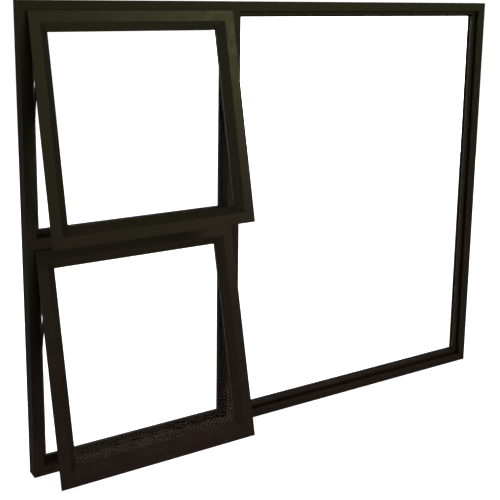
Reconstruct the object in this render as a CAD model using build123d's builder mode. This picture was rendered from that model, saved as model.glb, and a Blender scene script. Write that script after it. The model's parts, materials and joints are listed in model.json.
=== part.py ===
from build123d import *
import math
import os

# A three-light casement window in aluminium: two top-hung vents one above the other beside a
# large fixed light. Millimetres. X runs along the width, Y from the weather side to the room,
# Z up. The origin is the middle of the sill's underside. Both vents stand open.

# Outer frame
frame_width = 1490.0
frame_height = 1190.0
frame_depth = 38.0
frame_face = 25.0  # width of the frame's box, seen from outside
lip_reach = 16.5  # how far the rebate leg stands in beyond the box
lip_front = 30.0  # depth of the rebate leg behind the outside face
lip_thickness = 2.5
wall = 1.8
edge_radius = 0.5
mitre_gap = 0.1
divider_face = 31.0  # mullion and transom
mullion_x = -170.0
transom_rise = 12.0  # the lower vent is the taller one

# Vents
lap = 6.0  # how far a sash covers the frame all round
lap_gap = 1.5  # room between the back of the sash flange and the frame's face
flange = 3.0
sash_face = 27.0
sash_leg_reach = 48.0  # outer edge of the sash to the edge of its glazing leg
sash_leg_front = 16.0
sash_leg_thickness = 2.5
sash_body_start = 17.0
sash_body_end = 35.0
sash_depth = 32.5
upper_opening = 13.0  # degrees that each vent stands open
lower_opening = 14.0

# Glazing
glass_thickness = 4.0
gasket_thickness = 1.5
fixed_glass_inset = 4.0  # box side to the edge of the fixed pane
bead_front = 11.0  # depth of the fixed light's bead behind the outside face
bead_reach = 13.0  # box side to the edge of that bead
bead_bevel = 4.0
gasket_set_in = 0.5  # edge of a bead or leg to the edge of its gasket
block_length = 80.0
block_thickness = 6.0
seal_thickness = 1.8
frame_cleat_leg = 60.0
sash_cleat_leg = 38.0
sash_glass_inset = 38.0  # outer edge of the sash to the edge of its pane

# Friction stays. The sash bar turns on a short link at its top and on a long arm lower down.
# The arm is as long as the bar between its pivots and the short link together, so both links
# always lean out as far as the sash leans in, and the shoe runs straight down its track.
# Distances across the stay gap are measured from the side of the frame's box.
bar_link = 118.0  # upper to lower pivot, along the sash bar
short_link = 15.0
stay_y = 7.0  # depth of the stay's centre line behind the outside face
pivot_below_top = 13.0  # top edge of the sash to the bar's upper pivot
track_width = 14.0
track_base = 1.6
track_lip_top = 4.2
track_lip = 1.4
arm_width = 11.0
short_link_width = 9.0
bar_width = 10.0
arm_from = 4.9
plate = 2.0
stay_gap = 11.0
arm_foot_above_track_end = 14.0
track_beyond_pivot = 5.5
track_screws_above_foot = (30.0, 90.0)  # measured from the arm's rivet
shoe_above = 8.0
shoe_below = 18.0
bar_tail = 36.0  # how far the sash bar runs on below its lower pivot
stay_screw_radius = 2.0
stay_screw_head_radius = 3.4
stay_screw_head = 1.2
stay_screw_length = 9.0
pin_radius = 2.5
pin_clearance = 0.06
boss_radius = 4.5
rivet_head_radius = 4.0
rivet_head = 0.5
running_gap = 0.1

# Handles
handle_base_from = 23.2  # outer edge of the sash to the edge of the handle base
handle_base_length = 64.0
handle_base_depth = 5.2
strike_thickness = 0.6
hub_gap = 0.35
hub_radius = 7.5
hub_depth = 6.5
lever_length = 92.0
lever_width = 10.0
nose_length = 18.0
nose_width = 8.0
nose_thickness = 3.2
strike_width = 44.0

# Fixings
fixing_hole_radius = 3.25
fixing_heights = (150.0, 446.5, 743.5, 1040.0)
fixing_y = 5.0

os.makedirs("parts", exist_ok=True)

half_width = frame_width / 2
front_y = -frame_depth / 2
head_under = frame_height - frame_face
vent_left = -half_width + frame_face
vent_right = mullion_x - divider_face / 2
fixed_left = mullion_x + divider_face / 2
fixed_right = half_width - frame_face
clear_height = head_under - frame_face
transom_under = frame_face + (clear_height - divider_face) / 2 + transom_rise
transom_top = transom_under + divider_face
sash_left = vent_left - lap
sash_right = vent_right + lap
arm_link = bar_link + short_link
stay_length = bar_link + arm_link  # upper pivot to the arm's foot with the vent shut


def write(node, name):
    node.part.label = name
    export_step(node.part, f"parts/{name}.step")


def at(frame, x, y, z):
    """A point given along the axes of a plane: across, towards the room, and up."""
    return frame.origin + frame.x_dir * x + frame.y_dir * y + frame.z_dir * z


def group(pieces):
    """Separate solids that share one node."""
    with BuildPart() as node:
        for piece in pieces:
            add(piece)
    return node


# ---------------------------------------------------------------- extruded members


def corners(left, front, right, back):
    return [(left, front), (right, front), (right, back), (left, back)]


def section(outline, chambers=(), radius=edge_radius):
    """A profile: inward from the outer edge along X, towards the room along Y."""
    with BuildSketch() as profile:
        with BuildLine():
            Polyline(*outline, close=True)
        make_face()
        if radius:
            fillet(profile.vertices(), radius)
        for chamber in chambers:
            with BuildLine():
                Polyline(*chamber, close=True)
            make_face(mode=Mode.SUBTRACT)
    return profile.sketch


def mitred_member(profile, start, inward, back, length):
    """One side of a rectangle of profile, cut at 45 degrees at both ends."""
    along = inward.cross(back)
    end = start + along * length
    with BuildPart() as member:
        with BuildSketch(Plane(origin=start, x_dir=inward, z_dir=along)):
            add(profile)
        extrude(amount=length)
        for corner, heading in ((start, along), (end, -along)):
            cut = Plane(origin=corner + heading * mitre_gap, z_dir=heading - inward)
            split(bisect_by=cut, keep=Keep.TOP)
    return member


def ring(frame, profile, left, right, bottom, top, front):
    """Left, right, top and bottom members round a rectangle that stands in the frame's XZ."""
    width = right - left
    height = top - bottom
    across, back, up = frame.x_dir, frame.y_dir, frame.z_dir
    return {
        "left": mitred_member(profile, at(frame, left, front, bottom), across, back, height),
        "right": mitred_member(profile, at(frame, right, front, top), -across, back, height),
        "top": mitred_member(profile, at(frame, left, front, top), -up, back, width),
        "bottom": mitred_member(profile, at(frame, right, front, bottom), up, back, width),
    }


def ring_group(frame, profile, left, right, bottom, top, front):
    members = ring(frame, profile, left, right, bottom, top, front)
    return group([member.part for member in members.values()])


def rectangle_profile(left, front, right, back, radius=0.0):
    return section(corners(left, front, right, back), (), radius)


# ---------------------------------------------------------------- outer frame

lip_back = lip_front + lip_thickness
front_chamber = (wall, wall, frame_face - wall, frame_depth / 2 - wall / 2)
back_chamber = (wall, frame_depth / 2 + wall / 2, frame_face - wall, frame_depth - wall)
frame_profile = section(
    [
        (0, 0),
        (frame_face, 0),
        (frame_face, lip_front),
        (frame_face + lip_reach, lip_front),
        (frame_face + lip_reach, lip_back),
        (frame_face, lip_back),
        (frame_face, frame_depth),
        (0, frame_depth),
    ],
    [corners(*front_chamber), corners(*back_chamber)],
)
frame_box = (-half_width, half_width, 0, frame_height, front_y)
frame_sides = ring(Plane.XY, frame_profile, *frame_box)

# Each jamb takes four fixing screws through both of its walls, into the brickwork.
for side, outside_x in (("left", -half_width), ("right", half_width)):
    with BuildPart() as jamb:
        add(frame_sides[side].part)
        with BuildSketch(Plane.YZ.offset(outside_x - frame_face)):
            with Locations(*[(fixing_y, z) for z in fixing_heights]):
                Circle(fixing_hole_radius)
        extrude(amount=2 * frame_face, mode=Mode.SUBTRACT)
    write(jamb, f"frame_jamb_{side}")
write(frame_sides["top"], "frame_head")
write(frame_sides["bottom"], "frame_sill")


def corner_cleats(frame, left, right, bottom, top, front, chamber, leg):
    """Four L-shaped blocks that fill one chamber of the members and pull the mitres together."""
    fit = 0.2
    inner, near, outer, far = chamber
    depth = far - near - 2 * fit
    thick = outer - inner - 2 * fit
    blocks = []
    for x, across in ((left, 1), (right, -1)):
        for z, upward in ((bottom, 1), (top, -1)):
            corner = at(frame, x, front + near + fit, z)
            plane = Plane(origin=corner, x_dir=frame.x_dir, z_dir=-frame.y_dir)
            edge = inner + fit
            with BuildPart() as block:
                with BuildSketch(plane):
                    with BuildLine():
                        Polyline(
                            (across * edge, upward * edge),
                            (across * (edge + leg), upward * edge),
                            (across * (edge + leg), upward * (edge + thick)),
                            (across * (edge + thick), upward * (edge + thick)),
                            (across * (edge + thick), upward * (edge + leg)),
                            (across * edge, upward * (edge + leg)),
                            close=True,
                        )
                    make_face()
                extrude(amount=-depth)
            blocks.append(block.part)
    return group(blocks)


frame_cleats = corner_cleats(Plane.XY, *frame_box, front_chamber, frame_cleat_leg)
write(frame_cleats, "frame_corner_cleats")

# ---------------------------------------------------------------- mullion and transom

half_face = divider_face / 2
half_lips = half_face + lip_reach
divider_front_chamber = (-half_face + wall, wall, half_face - wall, front_chamber[3])
divider_back_chamber = (-half_face + wall, back_chamber[1], half_face - wall, back_chamber[3])
divider_box = section(
    corners(-half_face, 0, half_face, frame_depth),
    [corners(*divider_front_chamber), corners(*divider_back_chamber)],
)


def divider(centre_start, across, back, length, cut_lips):
    """A box with a rebate leg on each side, notched at its ends over the legs that it meets."""
    along = across.cross(back)
    with BuildPart() as member:
        with BuildSketch(Plane(origin=centre_start, x_dir=across, z_dir=along)):
            add(divider_box)
        extrude(amount=length)
        short = centre_start + along * cut_lips
        with BuildSketch(Plane(origin=short, x_dir=across, z_dir=along)):
            for side in (-1, 1):
                middle = side * (half_face + half_lips) / 2
                with Locations((middle, (lip_front + lip_back) / 2)):
                    Rectangle(lip_reach, lip_thickness)
        extrude(amount=length - 2 * cut_lips)
        for near_end in (0, length - cut_lips):
            notch = centre_start + along * near_end
            with BuildSketch(Plane(origin=notch, x_dir=across, z_dir=along)):
                with Locations((0, (lip_front + lip_back) / 2)):
                    Rectangle(divider_face, lip_thickness + 2 * (edge_radius + mitre_gap))
            extrude(amount=cut_lips, mode=Mode.SUBTRACT)
    return member


toward_room = Vector(0, 1, 0)
lip_stop = lip_reach + mitre_gap
mullion_foot = Vector(mullion_x, front_y, frame_face)
mullion = divider(mullion_foot, Vector(1, 0, 0), toward_room, clear_height, lip_stop)
write(mullion, "mullion")

transom_z = (transom_under + transom_top) / 2
transom_start = Vector(vent_left, front_y, transom_z)
transom_length = vent_right - vent_left
transom = divider(transom_start, Vector(0, 0, -1), toward_room, transom_length, lip_stop)
write(transom, "transom")


screw_radius = 2.0
screw_head_radius = 3.4
screw_head = 1.8
screw_spread = 8.0


def joint_cleat(start, across, along, reach=45.0):
    """A block inside the end of a mullion or transom, held against the frame by two screws."""
    fit = 0.2
    left, near, right, far = divider_front_chamber
    middle = (near + far) / 2
    with BuildPart() as block:
        with BuildSketch(Plane(origin=start, x_dir=across, z_dir=along)):
            with Locations((0, middle)):
                Rectangle(right - left - 2 * fit, far - near - 2 * fit)
            with Locations((-screw_spread, middle), (screw_spread, middle)):
                Circle(screw_radius, mode=Mode.SUBTRACT)
        extrude(amount=reach)
    return block.part


def joint_screws(start, across, along, reach=28.0):
    """The two screws from the chamber of the frame, through its wall, into a cleat."""
    middle = (divider_front_chamber[1] + divider_front_chamber[3]) / 2
    plane = Plane(origin=start, x_dir=across, z_dir=along)
    screws = []
    for place in ((-screw_spread, middle), (screw_spread, middle)):
        with BuildPart() as screw:
            with BuildSketch(plane.offset(-wall)):
                with Locations(place):
                    Circle(screw_radius)
            extrude(amount=reach)
            with BuildSketch(plane.offset(-wall)):
                with Locations(place):
                    Circle(screw_head_radius)
            extrude(amount=-screw_head)
        screws.append(screw.part)
    return screws


joint_ends = (
    (Vector(mullion_x, front_y, frame_face), Vector(1, 0, 0), Vector(0, 0, 1)),
    (Vector(mullion_x, front_y, head_under), Vector(-1, 0, 0), Vector(0, 0, -1)),
    (Vector(vent_left, front_y, transom_z), Vector(0, 0, -1), Vector(1, 0, 0)),
    (Vector(vent_right, front_y, transom_z), Vector(0, 0, 1), Vector(-1, 0, 0)),
)
write(group([joint_cleat(*end) for end in joint_ends]), "mullion_and_transom_cleats")
write(group(sum([joint_screws(*end) for end in joint_ends], [])), "mullion_and_transom_screws")

# ---------------------------------------------------------------- fixed light

glass_back = lip_front - gasket_thickness
glass_front = glass_back - glass_thickness
bead_back = glass_front - gasket_thickness
fixed_box = (fixed_left, fixed_right, frame_face, head_under, front_y)
fixed_bead_profile = section(
    [
        (0, bead_front),
        (bead_reach - bead_bevel, bead_front),
        (bead_reach, bead_front + 1.5 * bead_bevel),
        (bead_reach, bead_back),
        (0, bead_back),
    ]
)
gasket_from = fixed_glass_inset + gasket_thickness
outer_gasket = rectangle_profile(gasket_from, bead_back, bead_reach - gasket_set_in, glass_front)
inner_gasket = rectangle_profile(gasket_from, glass_back, lip_reach - gasket_set_in, lip_front)
write(ring_group(Plane.XY, fixed_bead_profile, *fixed_box), "fixed_light_beads")
write(ring_group(Plane.XY, outer_gasket, *fixed_box), "fixed_light_outer_gasket")
write(ring_group(Plane.XY, inner_gasket, *fixed_box), "fixed_light_inner_gasket")

with BuildPart() as fixed_glass:
    pane_width = fixed_right - fixed_left - 2 * fixed_glass_inset
    pane_height = clear_height - 2 * fixed_glass_inset
    with BuildSketch(Plane.XZ.offset(-(front_y + glass_front))):
        with Locations(((fixed_left + fixed_right) / 2, (frame_face + head_under) / 2)):
            Rectangle(pane_width, pane_height)
    extrude(amount=-glass_thickness)
write(fixed_glass, "fixed_light_glass")


def setting_blocks(frame, left, right, bottom, near, height):
    """Two plastic blocks that carry the pane's weight, a quarter of its width in."""
    quarter = (right - left) / 4
    blocks = []
    for x in (left + quarter, right - quarter):
        plane = Plane(origin=at(frame, x, near, bottom), x_dir=frame.x_dir, z_dir=frame.z_dir)
        with BuildPart() as block:
            with BuildSketch(plane):
                with Locations((0, block_thickness / 2)):
                    Rectangle(block_length, block_thickness)
            extrude(amount=height)
        blocks.append(block.part)
    return group(blocks)


blocks_near = front_y + glass_front - 1.0
write(
    setting_blocks(
        Plane.XY, fixed_left, fixed_right, frame_face, blocks_near, fixed_glass_inset
    ),
    "fixed_light_setting_blocks",
)

# ---------------------------------------------------------------- vents

sash_chamber = (
    sash_body_start + wall,
    sash_leg_front + wall + 1.0,
    sash_body_end - wall,
    sash_depth - wall,
)
# The bevel falls from the sash's face to the edge of the glazing leg; its wall is parallel to it.
bevel_run = (sash_leg_reach - sash_face) / sash_leg_front
bevel_wall = wall * math.hypot(1.0, bevel_run)
sash_profile = section(
    [
        (0, 0),
        (sash_face, 0),
        (sash_leg_reach, sash_leg_front),
        (sash_leg_reach, sash_leg_front + sash_leg_thickness),
        (sash_body_end, sash_leg_front + sash_leg_thickness),
        (sash_body_end, sash_depth),
        (sash_body_start, sash_depth),
        (sash_body_start, flange),
        (0, flange),
    ],
    [
        [
            (sash_body_start + wall, flange),
            (sash_face - bevel_wall + bevel_run * flange, flange),
            (sash_leg_reach - bevel_wall, sash_leg_front),
            (sash_body_start + wall, sash_leg_front),
        ],
        corners(*sash_chamber),
    ],
)
sash_glass_front = sash_leg_front + sash_leg_thickness + gasket_thickness
sash_glass_back = sash_glass_front + glass_thickness
sash_bead_front = sash_glass_back + gasket_thickness
sash_bead_reach = sash_leg_reach - 2.0
sash_bead_profile = section(
    [
        (sash_body_end, sash_bead_front),
        (sash_bead_reach, sash_bead_front),
        (sash_bead_reach, sash_depth - bead_bevel),
        (sash_bead_reach - bead_bevel, sash_depth),
        (sash_body_end, sash_depth),
    ]
)
sash_outer_gasket = rectangle_profile(
    sash_glass_inset + gasket_thickness,
    sash_leg_front + sash_leg_thickness,
    sash_leg_reach - gasket_set_in,
    sash_glass_front,
)
sash_inner_gasket = rectangle_profile(
    sash_glass_inset + gasket_set_in,
    sash_glass_back,
    sash_bead_reach - gasket_set_in,
    sash_bead_front,
)
seal_profile = rectangle_profile(
    lip_reach - seal_thickness - 1.5, lip_front - seal_thickness, lip_reach - 0.3, lip_front
)
front_face = -(stay_y + lap_gap + flange)  # the sash's face, ahead of the shoe pivot


def side_plane(frame, x, y, z, inward):
    """A plane on the side of a vent, with its own normal pointing to the vent's middle."""
    return Plane(origin=at(frame, x, y, z), x_dir=frame.y_dir * inward, z_dir=frame.x_dir * inward)


def disc(plane, start, stop, radius):
    with BuildPart() as piece:
        with BuildSketch(plane.offset(start)):
            Circle(radius)
        extrude(amount=stop - start)
    return piece.part


def bar(plane, start, thick, down, width, holes=()):
    """A flat stay link with rounded ends, hanging below its upper pivot."""
    with BuildPart() as link_bar:
        with BuildSketch(plane.offset(start)):
            with Locations((0, -down / 2)):
                Rectangle(width, down)
            for z in (0, -down):
                with Locations((0, z)):
                    Circle(width / 2)
            for z in holes:
                with Locations((0, z)):
                    Circle(pin_radius + pin_clearance, mode=Mode.SUBTRACT)
        extrude(amount=thick)
    return link_bar.part


def rivet(plane, boss_from, boss_to, head_to):
    """A stepped rivet: a boss, a pin through a link, and a head beyond the link."""
    reach = 1 if head_to > boss_to else -1
    return [
        disc(plane, boss_from, boss_to, boss_radius),
        disc(plane, boss_to, head_to - reach * rivet_head, pin_radius),
        disc(plane, head_to - reach * rivet_head, head_to, rivet_head_radius),
    ]


link_near = arm_from - running_gap
link_far = arm_from + plate + running_gap


def stay_track(x, inward, pivot_z):
    """The channel on the frame that the shoe slides in, with the arm's rivet near its foot."""
    arm_foot = pivot_z - stay_length
    foot = arm_foot - arm_foot_above_track_end
    head = pivot_z + track_beyond_pivot
    plane = side_plane(Plane.XY, x, front_y + stay_y, 0, inward)
    arm_pin = side_plane(Plane.XY, x, front_y + stay_y, arm_foot, inward)
    lip_middle = (track_width - track_lip) / 2
    screw_places = [(0, arm_foot + above) for above in track_screws_above_foot]
    screw_places.append((0, foot + 5.0))
    with BuildPart() as track:
        with BuildSketch(plane):
            with Locations((0, (head + foot) / 2)):
                Rectangle(track_width, head - foot)
        extrude(amount=track_base)
        with BuildSketch(plane.offset(track_base)):
            with Locations((-lip_middle, (head + foot) / 2), (lip_middle, (head + foot) / 2)):
                Rectangle(track_lip, head - foot)
        extrude(amount=track_lip_top - track_base)
        with BuildSketch(plane):
            with Locations(*screw_places):
                Circle(stay_screw_radius + pin_clearance)
        extrude(amount=track_base, mode=Mode.SUBTRACT)
        add(rivet(arm_pin, track_base, link_near, link_far + rivet_head))
    return track, [(plane, place) for place in screw_places]


def stay_shoe(x, inward, shoe_z):
    """The plastic shoe that slides in the track and carries the short link's rivet."""
    inside = track_width - 2 * track_lip - 0.6
    shoe_from = track_base + 0.2
    plane = side_plane(Plane.XY, x, front_y + stay_y, shoe_z, inward)
    with BuildPart() as shoe:
        with BuildSketch(plane.offset(shoe_from)):
            with Locations((0, (shoe_above - shoe_below) / 2)):
                RectangleRounded(inside, shoe_above + shoe_below, 1.5)
        extrude(amount=link_near - shoe_from)
        add(rivet(plane, shoe_from, link_near, link_far + rivet_head)[1:])
    return shoe


def sash_bar(frame, x, inward):
    """The stay's bar on the side of the sash, with a rivet for each of its links."""
    upper_pin = side_plane(frame, x, 0, 0, inward)
    lower_pin = side_plane(frame, x, 0, -bar_link, inward)
    bar_from = stay_gap - plate
    with BuildPart() as piece:
        add(bar(upper_pin, bar_from, plate, bar_link + bar_tail, bar_width))
        for pin in (upper_pin, lower_pin):
            add(rivet(pin, bar_from, link_far, link_near - rivet_head))
    return piece.part


def stay_screw(plane, place):
    """A small screw with its head on the track's base and its shank in the frame."""
    with BuildPart() as screw:
        with BuildSketch(plane.offset(track_base)):
            with Locations(place):
                Circle(stay_screw_head_radius)
        extrude(amount=stay_screw_head)
        with BuildSketch(plane.offset(track_base)):
            with Locations(place):
                Circle(stay_screw_radius)
        extrude(amount=-stay_screw_length)
    return screw.part


def handle_base(frame, x, bottom_z, near):
    """The plate on the inside of the bottom rail that the handle turns on."""
    width = sash_body_end - handle_base_from
    middle_z = bottom_z + handle_base_from + width / 2
    plane = Plane(origin=at(frame, x, near, middle_z), x_dir=frame.x_dir, z_dir=frame.y_dir)
    with BuildPart() as base:
        with BuildSketch(plane):
            RectangleRounded(handle_base_length, width, 2.5)
        extrude(amount=handle_base_depth)
        top_face = base.faces().sort_by(Axis(plane.origin, plane.z_dir))[-1]
        fillet(top_face.edges(), 1.0)
        with BuildSketch(plane.offset(handle_base_depth)):
            Circle(pin_radius)
        extrude(amount=hub_depth - 1.5)
    return base


def handle_lever(frame, x, bottom_z, near):
    """Hub, grip along the rail, and the nose that turns down behind the frame's leg."""
    width = sash_body_end - handle_base_from
    middle_z = bottom_z + handle_base_from + width / 2
    hub_near = near + handle_base_depth + hub_gap
    plane = Plane(origin=at(frame, x, hub_near, middle_z), x_dir=frame.x_dir, z_dir=frame.y_dir)
    side = Plane(origin=at(frame, x, hub_near, middle_z), x_dir=frame.x_dir, z_dir=frame.z_dir)
    with BuildPart() as lever:
        with BuildSketch(plane):
            Circle(hub_radius)
        extrude(amount=hub_depth)
        with BuildSketch(plane):
            with Locations((-hub_radius, 0)):
                SlotOverall(nose_length, nose_width)
        extrude(amount=nose_thickness)
        with BuildSketch(side.offset(-lever_width / 2)):
            with BuildLine():
                Polyline(
                    (0, 0.5),
                    (14, 0.5),
                    (30, 8.5),
                    (lever_length, 10.0),
                    (lever_length, 15.5),
                    (26, 14.5),
                    (10, hub_depth),
                    (0, hub_depth),
                    close=True,
                )
            make_face()
        extrude(amount=lever_width)
        far_end = lever.faces().sort_by(Axis.X)[-1]
        fillet(far_end.edges(), 1.6)
        with BuildSketch(plane):
            Circle(pin_radius + pin_clearance)
        extrude(amount=hub_depth - 1.2, mode=Mode.SUBTRACT)
    return lever


track_screws = []
strikes = []
for vent, opening_bottom, opening_top, opening_angle in (
    ("upper", transom_top, head_under, upper_opening),
    ("lower", frame_face, transom_under, lower_opening),
):
    tilt = math.radians(opening_angle)
    sash_height = opening_top - opening_bottom + 2 * lap
    shut_pivot_z = opening_top + lap - pivot_below_top
    pivot_y = front_y + stay_y - short_link * math.sin(tilt)
    pivot_z = shut_pivot_z - stay_length * (1 - math.cos(tilt))
    sash_frame = Plane(
        origin=(0, pivot_y, pivot_z),
        x_dir=(1, 0, 0),
        z_dir=(0, math.sin(tilt), math.cos(tilt)),
    )
    sash_top = pivot_below_top
    sash_bottom = sash_top - sash_height
    sash_box = (sash_left, sash_right, sash_bottom, sash_top, front_face)
    rails = ring(sash_frame, sash_profile, *sash_box)
    write(rails["left"], f"{vent}_sash_left_stile")
    write(rails["right"], f"{vent}_sash_right_stile")
    write(rails["top"], f"{vent}_sash_top_rail")
    write(rails["bottom"], f"{vent}_sash_bottom_rail")
    cleats = corner_cleats(sash_frame, *sash_box, sash_chamber, sash_cleat_leg)
    write(cleats, f"{vent}_sash_corner_cleats")
    write(ring_group(sash_frame, sash_bead_profile, *sash_box), f"{vent}_sash_beads")
    write(ring_group(sash_frame, sash_outer_gasket, *sash_box), f"{vent}_sash_outer_gasket")
    write(ring_group(sash_frame, sash_inner_gasket, *sash_box), f"{vent}_sash_inner_gasket")

    middle_x = (sash_left + sash_right) / 2
    middle_z = (sash_bottom + sash_top) / 2
    pane_at = at(sash_frame, middle_x, front_face + sash_glass_front, middle_z)
    with BuildPart() as glass:
        with BuildSketch(Plane(origin=pane_at, x_dir=(1, 0, 0), z_dir=sash_frame.y_dir)):
            Rectangle(
                sash_right - sash_left - 2 * sash_glass_inset,
                sash_height - 2 * sash_glass_inset,
            )
        extrude(amount=glass_thickness)
    write(glass, f"{vent}_sash_glass")
    blocks = setting_blocks(
        sash_frame,
        sash_left,
        sash_right,
        sash_bottom + sash_body_end,
        front_face + sash_glass_front - 1.0,
        sash_glass_inset - sash_body_end,
    )
    write(blocks, f"{vent}_sash_setting_blocks")

    vent_box = (vent_left, vent_right, opening_bottom, opening_top, front_y)
    write(ring_group(Plane.XY, seal_profile, *vent_box), f"{vent}_vent_seal")

    # Both links lean out from the frame at the opening angle.
    link_up = (0, -math.sin(tilt), math.cos(tilt))
    shoe_z = pivot_z - short_link * math.cos(tilt)
    arm_top = at(sash_frame, 0, 0, -bar_link)
    bars = []
    for side, box_x, inward in (("left", vent_left, 1), ("right", vent_right, -1)):
        track, screw_places = stay_track(box_x, inward, shut_pivot_z)
        write(track, f"{vent}_{side}_stay_track")
        for plane, place in screw_places:
            track_screws.append(stay_screw(plane, place))
        write(stay_shoe(box_x, inward, shoe_z), f"{vent}_{side}_stay_shoe")
        bars.append(sash_bar(sash_frame, box_x, inward))

        arm_plane = Plane(origin=arm_top, x_dir=(1, 0, 0), z_dir=link_up)
        with BuildPart() as arm:
            arm_side = side_plane(arm_plane, box_x, 0, 0, inward)
            add(bar(arm_side, arm_from, plate, arm_link, arm_width, (0, -arm_link)))
        write(arm, f"{vent}_{side}_stay_arm")
        link_plane = Plane(origin=sash_frame.origin, x_dir=(1, 0, 0), z_dir=link_up)
        with BuildPart() as upper_link:
            link_side = side_plane(link_plane, box_x, 0, 0, inward)
            add(bar(link_side, arm_from, plate, short_link, short_link_width, (0, -short_link)))
        write(upper_link, f"{vent}_{side}_stay_short_link")
    write(group(bars), f"{vent}_sash_stay_bars")

    inside_face = front_face + sash_depth
    write(handle_base(sash_frame, middle_x, sash_bottom, inside_face), f"{vent}_handle_base")
    write(handle_lever(sash_frame, middle_x, sash_bottom, inside_face), f"{vent}_handle_lever")
    with BuildPart() as strike:
        with BuildSketch(Plane.XZ.offset(-(front_y + lip_back))):
            with Locations((middle_x, opening_bottom + lip_reach / 2)):
                RectangleRounded(strike_width, lip_reach - 2.0, 2.0)
        extrude(amount=-strike_thickness)
    strikes.append(strike.part)

write(group(track_screws), "stay_track_screws")
write(group(strikes), "handle_strikes")
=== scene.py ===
import json
import math

import bpy
from mathutils import Matrix, Vector


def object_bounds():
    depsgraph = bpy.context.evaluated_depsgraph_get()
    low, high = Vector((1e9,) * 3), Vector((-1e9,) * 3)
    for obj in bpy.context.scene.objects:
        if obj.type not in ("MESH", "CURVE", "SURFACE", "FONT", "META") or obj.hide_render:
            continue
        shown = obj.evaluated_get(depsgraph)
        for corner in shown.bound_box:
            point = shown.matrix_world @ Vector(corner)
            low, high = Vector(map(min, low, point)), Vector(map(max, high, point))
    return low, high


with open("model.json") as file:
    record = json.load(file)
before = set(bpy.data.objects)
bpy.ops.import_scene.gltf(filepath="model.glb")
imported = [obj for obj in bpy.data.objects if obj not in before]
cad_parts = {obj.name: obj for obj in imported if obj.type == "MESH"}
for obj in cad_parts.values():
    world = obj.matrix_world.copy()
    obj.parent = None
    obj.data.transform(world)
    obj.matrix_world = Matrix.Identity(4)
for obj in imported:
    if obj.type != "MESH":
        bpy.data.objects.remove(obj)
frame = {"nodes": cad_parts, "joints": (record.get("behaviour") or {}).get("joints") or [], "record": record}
cad_low, cad_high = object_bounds()

SLOT_OF = {part["node"]: part["material_slot"] for part in frame["record"]["subparts"]}
SPAN = cad_high - cad_low
SILL_Z = cad_low.z


# ------------------------------------------------------------------ node helpers


class Graph:
    """A material's node tree, with short calls for the nodes that the finishes share."""

    def __init__(self, name):
        self.material = bpy.data.materials.new(name)
        self.material.use_nodes = True
        self.tree = self.material.node_tree
        self.shader = self.tree.nodes["Principled BSDF"]
        self.place = self.tree.nodes.new("ShaderNodeTexCoord").outputs["Object"]

    def node(self, kind, **inputs):
        made = self.tree.nodes.new(kind)
        for name, value in inputs.items():
            self.put(made.inputs[name.replace("_", " ")], value)
        return made

    def put(self, socket, value):
        if isinstance(value, bpy.types.NodeSocket):
            self.tree.links.new(value, socket)
        else:
            socket.default_value = value

    def stretched(self, scale, turn=(0.0, 0.0, 0.0)):
        """Object coordinates, turned and scaled, so a texture can run along a member."""
        mapping = self.node("ShaderNodeMapping", Vector=self.place)
        mapping.inputs["Scale"].default_value = scale
        mapping.inputs["Rotation"].default_value = turn
        return mapping.outputs["Vector"]

    def noise(self, scale, detail=3.0, roughness=0.55, vector=None):
        made = self.node("ShaderNodeTexNoise", Scale=scale, Detail=detail, Roughness=roughness)
        self.put(made.inputs["Vector"], vector or self.place)
        return made.outputs["Fac"]

    def ramp(self, value, low, high, to_low=0.0, to_high=1.0):
        made = self.node("ShaderNodeMapRange", Value=value)
        made.inputs["From Min"].default_value = low
        made.inputs["From Max"].default_value = high
        made.inputs["To Min"].default_value = to_low
        made.inputs["To Max"].default_value = to_high
        return made.outputs["Result"]

    def math(self, operation, first, second):
        made = self.tree.nodes.new("ShaderNodeMath")
        made.operation = operation
        self.put(made.inputs[0], first)
        self.put(made.inputs[1], second)
        return made.outputs[0]

    def mix(self, factor, first, second):
        made = self.tree.nodes.new("ShaderNodeMix")
        made.data_type = "RGBA"
        self.put(made.inputs["Factor"], factor)
        self.put(made.inputs[6], first)
        self.put(made.inputs[7], second)
        return made.outputs[2]

    def bump(self, height, distance, strength=1.0, normal=None):
        made = self.node("ShaderNodeBump", Height=height, Distance=distance, Strength=strength)
        if normal:
            self.put(made.inputs["Normal"], normal)
        return made.outputs["Normal"]

    def up_facing(self):
        """1 where a surface faces up, 0 where it is upright or faces down."""
        geometry = self.tree.nodes.new("ShaderNodeNewGeometry")
        parts = self.node("ShaderNodeSeparateXYZ", Vector=geometry.outputs["Normal"])
        return self.ramp(parts.outputs["Z"], 0.35, 0.95)

    def height_z(self):
        parts = self.node("ShaderNodeSeparateXYZ", Vector=self.place)
        return parts.outputs["Z"]

    def edges(self, radius):
        """1 along convex and concave edges, fading out over the radius."""
        bevel = self.node("ShaderNodeBevel", Radius=radius)
        geometry = self.tree.nodes.new("ShaderNodeNewGeometry")
        dot = self.tree.nodes.new("ShaderNodeVectorMath")
        dot.operation = "DOT_PRODUCT"
        self.put(dot.inputs[0], bevel.outputs["Normal"])
        self.put(dot.inputs[1], geometry.outputs["Normal"])
        return self.ramp(dot.outputs["Value"], 0.995, 0.80)

    def finish(self, **inputs):
        for name, value in inputs.items():
            self.put(self.shader.inputs[name.replace("_", " ")], value)
        return self.material


def seen_directly(tree):
    """1 for what the eye sees straight on or through glass, 0 for light and reflections."""
    path = tree.nodes.new("ShaderNodeLightPath")
    seen = tree.nodes.new("ShaderNodeMath")
    seen.operation = "MAXIMUM"
    tree.links.new(path.outputs["Is Camera Ray"], seen.inputs[0])
    tree.links.new(path.outputs["Is Transmission Ray"], seen.inputs[1])
    return seen.outputs[0]


# ------------------------------------------------------------------ finishes

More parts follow.
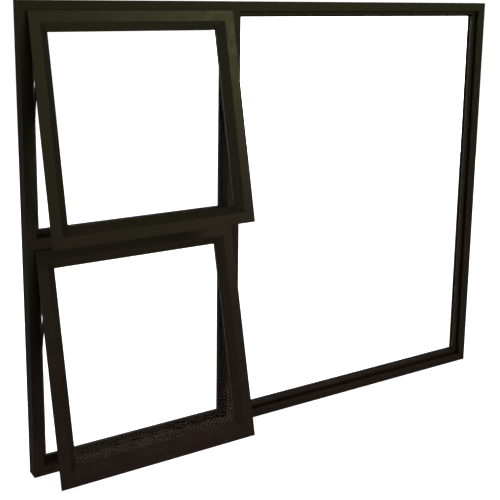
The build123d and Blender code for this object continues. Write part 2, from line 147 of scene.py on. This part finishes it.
# Texture scales are per metre.
STREAK_ALONG = 3.0
STREAK_ACROSS = 260.0
DRIFT_SCALE = 2.1
MOTTLE_SCALE = 38.0
DUST_SCALE = 24.0
WEAR_SCALE = 70.0
PEEL_SCALE = 900.0
GRAIN_SCALE = 2600.0
EDGE_WEAR_WIDTH = 0.0007

# OLIVE and BROWN are blended by height as painted light from above (lighter olive at the top, darker brown
# at the bottom) and by a random drift
OLIVE = (0.0205, 0.0205, 0.0095)
BROWN = (0.0195, 0.0122, 0.0105)
MOTTLED = (0.024, 0.021, 0.013, 1)
STREAKED = (0.030, 0.026, 0.016, 1)
GRAINED = (0.042, 0.037, 0.024, 1)
DUSTY = (0.064, 0.051, 0.038, 1)
WORN = (0.046, 0.040, 0.027, 1)
SHEEN = (0.30, 0.27, 0.22, 1)


def tinted(colour, by):
    return (*(channel * by for channel in colour), 1)



def bronze(name, along, turn=0.0, tint=1.0):
    """Dark bronze coating on extruded aluminium: die lines along the bar, fine orange peel,
    a slow random drift between olive and brown, painted light from above that makes the coating lighter
    olive towards the top and darker brown towards the bottom, dust on ledges and thin wear on the edges."""
    g = Graph(name)
    scale = [STREAK_ACROSS] * 3
    scale[along] = STREAK_ALONG
    streaks = g.noise(1.0, 2.0, 0.5, g.stretched(scale, (turn, 0.0, 0.0)))
    drift = g.noise(DRIFT_SCALE, 3.0, 0.5)
    mottle = g.noise(MOTTLE_SCALE, 4.0, 0.6)
    grain = g.noise(GRAIN_SCALE, 2.0, 0.5)
    peel = g.noise(PEEL_SCALE, 2.0, 0.45)
    # painted light from above: the coating is made lighter and more olive towards the top and darker and
    # browner towards the bottom, mixed with the random drift
    high = g.ramp(g.height_z(), SILL_Z + 0.15 * SPAN.z, SILL_Z + SPAN.z)
    drift_and_painted_top_light = g.math("ADD", g.math("MULTIPLY", high, 0.75), g.ramp(drift, 0.35, 0.7, 0.0, 0.3))
    body = g.mix(drift_and_painted_top_light, tinted(BROWN, tint), tinted(OLIVE, tint))
    body = g.mix(g.ramp(mottle, 0.45, 0.75, 0.0, 0.30), body, MOTTLED)
    body = g.mix(g.ramp(streaks, 0.52, 0.75, 0.0, 0.30), body, STREAKED)
    body = g.mix(g.ramp(grain, 0.60, 0.75, 0.0, 0.35), body, GRAINED)
    dust_patch = g.ramp(g.noise(DUST_SCALE, 5.0, 0.65), 0.42, 0.72)
    dust = g.math("MULTIPLY", g.up_facing(), g.math("MULTIPLY", dust_patch, 0.16))
    body = g.mix(dust, body, DUSTY)
    wear_patch = g.ramp(g.noise(WEAR_SCALE, 4.0, 0.6), 0.45, 0.7)
    worn = g.math("MULTIPLY", g.edges(EDGE_WEAR_WIDTH), g.math("MULTIPLY", wear_patch, 0.40))
    body = g.mix(worn, body, WORN)
    rough = g.ramp(mottle, 0.3, 0.75, 0.38, 0.52)
    rough = g.math("ADD", rough, g.math("MULTIPLY", dust, 1.2))
    normal = g.bump(peel, 0.00006, 0.55)
    normal = g.bump(streaks, 0.00003, 0.45, normal)
    return g.finish(
        Base_Color=body,
        Roughness=rough,
        Normal=normal,
        Metallic=0.85,
        Specular_IOR_Level=0.15,
        Specular_Tint=SHEEN,
    )


CLEAN_GLASS = (0.99, 1.0, 0.99, 1)
FILMED_GLASS = (0.975, 0.97, 0.95, 1)


def clear_glass():
    """Float glass, almost colourless, with a very faint film of dust. Lamps shine through it.

    Its index is lower than real glass has, so that it mirrors almost nothing."""
    g = Graph("clear_glass")
    film = g.noise(9.0, 5.0, 0.6)
    ripple = g.noise(3.0, 1.0, 0.4)
    tone = g.mix(g.ramp(film, 0.4, 0.8, 0.0, 0.5), CLEAN_GLASS, FILMED_GLASS)
    lamps = g.tree.nodes.new("ShaderNodeLightPath").outputs["Is Shadow Ray"]
    pass_by = g.tree.nodes.new("ShaderNodeMixShader")
    g.put(pass_by.inputs[0], lamps)
    g.put(pass_by.inputs[1], g.shader.outputs[0])
    g.put(pass_by.inputs[2], g.tree.nodes.new("ShaderNodeBsdfTransparent").outputs[0])
    g.put(g.tree.nodes["Material Output"].inputs["Surface"], pass_by.outputs[0])
    return g.finish(
        Base_Color=tone,
        Roughness=0.0,
        Normal=g.bump(ripple, 0.0002, 0.05),
        Transmission_Weight=1.0,
        IOR=1.14,
        Specular_Tint=(1.0, 0.82, 0.66, 1),
    )


def rubber(name):
    g = Graph(name)
    bloom = g.noise(60.0, 4.0, 0.6)
    grain = g.noise(1800.0, 2.0, 0.5)
    tone = g.mix(g.ramp(bloom, 0.4, 0.8), (0.010, 0.010, 0.010, 1), (0.026, 0.025, 0.024, 1))
    return g.finish(
        Base_Color=tone,
        Roughness=g.ramp(bloom, 0.3, 0.8, 0.62, 0.80),
        Normal=g.bump(grain, 0.00005, 0.5),
    )


def moulded(name, dark, light):
    """Injection-moulded plastic with a fine spark-eroded grain."""
    g = Graph(name)
    cloud = g.noise(45.0, 3.0, 0.5)
    grain = g.noise(2200.0, 2.0, 0.5)
    tone = g.mix(g.ramp(cloud, 0.35, 0.75), (*dark, 1), (*light, 1))
    return g.finish(
        Base_Color=tone,
        Roughness=g.ramp(cloud, 0.3, 0.7, 0.40, 0.55),
        Normal=g.bump(grain, 0.00004, 0.6),
    )


def rolled_steel(name, tone):
    """Steel strip with rolling lines along it and duller patches where it has been handled."""
    g = Graph(name)
    lines = g.noise(1.0, 3.0, 0.6, g.stretched((900.0, 900.0, 14.0)))
    patch = g.noise(55.0, 4.0, 0.6)
    dull = tuple(0.62 * c for c in tone)
    body = g.mix(g.ramp(patch, 0.4, 0.75, 0.0, 0.7), (*tone, 1), (*dull, 1))
    body = g.mix(g.ramp(lines, 0.5, 0.8, 0.0, 0.35), body, (*dull, 1))
    return g.finish(
        Base_Color=body,
        Metallic=1.0,
        Roughness=g.ramp(lines, 0.3, 0.75, 0.24, 0.44),
        Normal=g.bump(lines, 0.00003, 0.4),
    )


def mill_alloy(name):
    g = Graph(name)
    cloud = g.noise(80.0, 4.0, 0.6)
    body = g.mix(cloud, (0.50, 0.50, 0.51, 1), (0.68, 0.68, 0.69, 1))
    return g.finish(Base_Color=body, Metallic=1.0, Roughness=g.ramp(cloud, 0.3, 0.7, 0.35, 0.5))


ALONG_X, ALONG_Z = 0, 2
SASH_TINT = 1.12


def lean_of(vent):
    """How far a vent's sash leans, from the handle's hinge, which is square to the sash."""
    for joint in frame["joints"]:
        if joint["name"] == f"{vent}_handle_turn":
            return math.atan2(joint["axis"][2], -joint["axis"][1])
    return 0.0


FINISHES = {
    "frame_x": bronze("bronze_frame_x", ALONG_X),
    "frame_z": bronze("bronze_frame_z", ALONG_Z),
    "sash_x": bronze("bronze_sash_x", ALONG_X, 0.0, SASH_TINT),
    "upper_z": bronze("bronze_upper_z", ALONG_Z, lean_of("upper"), SASH_TINT),
    "lower_z": bronze("bronze_lower_z", ALONG_Z, lean_of("lower"), SASH_TINT),
    "handle_metal": bronze("bronze_handle", ALONG_X, 0.0, 0.9),
    "glass": clear_glass(),
    "gasket_rubber": rubber("gasket_rubber"),
    "block_plastic": moulded("block_plastic", (0.05, 0.05, 0.05), (0.09, 0.09, 0.09)),
    "shoe_plastic": moulded("shoe_plastic", (0.018, 0.018, 0.019), (0.034, 0.034, 0.035)),
    "stay_steel": rolled_steel("stay_steel", (0.060, 0.056, 0.048)),
    "screw_steel": rolled_steel("screw_steel", (0.63, 0.62, 0.60)),
    "cleat_alloy": mill_alloy("cleat_alloy"),
}
UPRIGHT = ("jamb", "mullion", "stile")


def finish_for(node):
    slot = SLOT_OF[node]
    upright = any(word in node for word in UPRIGHT)
    if slot in ("frame_metal", "bead_metal"):
        return FINISHES["frame_z" if upright else "frame_x"]
    if slot == "sash_metal":
        vent = node.split("_")[0]
        return FINISHES[f"{vent}_z" if upright else "sash_x"]
    return FINISHES[slot]


for node, piece in frame["nodes"].items():
    for place in piece.material_slots:
        place.material = finish_for(node)


# ------------------------------------------------------------------ floor, light, camera

FLOOR_SIZE = 400.0
FLOOR_GLOW = 0.74  # keeps the studio floor near white in the soft shadows
FLOOR_LIGHT = 0.46  # share of the floor's whiteness that lights the object
FLOOR_DROP = 0.0005  # a gap below the sill, so that the two surfaces don't coincide
FLOOR_TONES = (0.955, 0.955, 0.955, 1), (0.975, 0.975, 0.975, 1)
BLACK = (0, 0, 0, 1)


def pale_floor():
    bpy.ops.mesh.primitive_plane_add(size=FLOOR_SIZE, location=(0, 0, SILL_Z - FLOOR_DROP))
    floor = bpy.context.object
    floor.name = "floor"
    g = Graph("pale_floor")
    share = g.ramp(seen_directly(g.tree), 0.0, 1.0, FLOOR_LIGHT, 1.0)
    cloud = g.noise(1.2, 3.0, 0.5)
    tone = g.mix(share, BLACK, g.mix(cloud, *FLOOR_TONES))
    matt = g.finish(Base_Color=tone, Roughness=0.9, Specular_IOR_Level=0.1)
    floor.data.materials.append(matt)
    g.put(g.shader.inputs["Emission Color"], (1, 1, 1, 1))
    g.put(g.shader.inputs["Emission Strength"], g.math("MULTIPLY", share, FLOOR_GLOW))


def soft_light(name, place, aim, size, power, tone=(1, 1, 1)):
    data = bpy.data.lights.new(name, "AREA")
    data.shape = "RECTANGLE"
    data.size, data.size_y = size
    data.energy = power
    data.color = tone
    light = bpy.data.objects.new(name, data)
    light.location = place
    light.rotation_euler = (Vector(aim) - Vector(place)).to_track_quat("-Z", "Y").to_euler()
    bpy.context.scene.collection.objects.link(light)


pale_floor()
middle = (cad_low + cad_high) / 2
soft_light("key", (3.0, -3.4, 3.0), middle, (2.2, 1.6), 112.0, (1.0, 0.98, 0.92))
soft_light("fill", (-3.0, -2.4, 2.2), middle, (2.4, 2.0), 10.0)
soft_light("room", (-2.2, 3.6, 2.6), middle, (2.4, 2.0), 130.0)
soft_light("room_low", (2.8, 3.4, 1.0), middle, (2.0, 2.0), 45.0)

SURROUND_LIGHT = 0.38  # strength for light and reflections
SURROUND_SEEN = 1.06  # strength for the eye


def studio_world():
    """A white surround for the eye that lights the object more gently than it looks."""
    world = bpy.data.worlds.new("studio")
    world.use_nodes = True
    tree = world.node_tree
    strength = tree.nodes.new("ShaderNodeMapRange")
    strength.inputs["To Min"].default_value = SURROUND_LIGHT
    strength.inputs["To Max"].default_value = SURROUND_SEEN
    tree.links.new(seen_directly(tree), strength.inputs["Value"])
    background = tree.nodes["Background"]
    background.inputs["Color"].default_value = (1.0, 1.0, 1.0, 1)
    tree.links.new(strength.outputs["Result"], background.inputs["Strength"])
    bpy.context.scene.world = world


studio_world()
bpy.context.scene.view_settings.view_transform = "Standard"

SENSOR_MM = 36.0
IMAGE_SIDE = 500.0
FOCAL = 916.9  # in the same units as IMAGE_SIDE
CENTRE = (271.6, 165.0)  # where the view axis meets the image
YAW, PITCH, ROLL = 33.088, -11.014, 1.015  # degrees
EYE = (-1.4130, -2.1148, 1.2299)


def photo_camera():
    data = bpy.data.cameras.new("camera")
    data.sensor_width = SENSOR_MM
    data.lens = FOCAL / IMAGE_SIDE * SENSOR_MM
    data.shift_x = (IMAGE_SIDE / 2 - CENTRE[0]) / IMAGE_SIDE
    data.shift_y = (CENTRE[1] - IMAGE_SIDE / 2) / IMAGE_SIDE
    camera = bpy.data.objects.new("camera", data)
    bpy.context.scene.collection.objects.link(camera)
    yaw, pitch, roll = (math.radians(a) for a in (YAW, PITCH, ROLL))
    level = math.cos(pitch)
    ahead = Vector((math.sin(yaw) * level, math.cos(yaw) * level, math.sin(pitch)))
    turn = ahead.to_track_quat("-Z", "Y").to_matrix() @ Matrix.Rotation(roll, 3, "Z")
    camera.matrix_world = Matrix.Translation(EYE) @ turn.to_4x4()
    bpy.context.scene.camera = camera


photo_camera()
